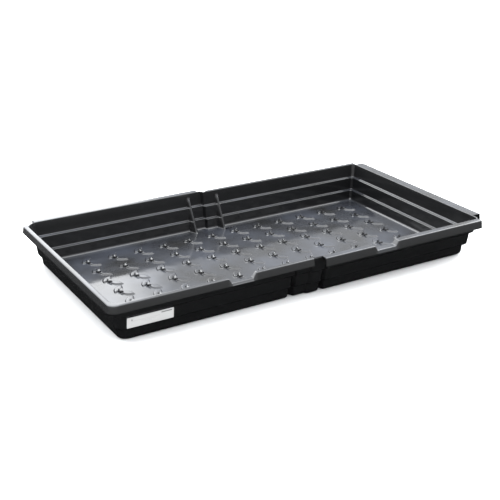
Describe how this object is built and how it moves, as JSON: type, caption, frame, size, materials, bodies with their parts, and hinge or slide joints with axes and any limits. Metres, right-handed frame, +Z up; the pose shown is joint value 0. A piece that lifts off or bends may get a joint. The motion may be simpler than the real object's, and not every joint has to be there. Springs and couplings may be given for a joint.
{
  "type": "spill containment tray",
  "caption": "Long shallow open-topped plastic drip tray with stepped walls, hollow gussets, lapping rims, pouring dips and a raised tread floor.",
  "frame": {"origin": "middle of the bounding box, on the ground under the tray", "axes": "+X along the length, towards the end with the wide lapping rim; +Y across, away from the labelled front wall; +Z up"},
  "size_m": [1.2, 0.659, 0.118],
  "materials": {
    "tray_plastic": "semi-gloss black moulded sheet with a faint orange-peel",
    "label_stock": "satin white printed label stock"
  },
  "bodies": {
    "root": {"tray": "tray_plastic", "label": "label_stock"}
  },
  "joints": []
}
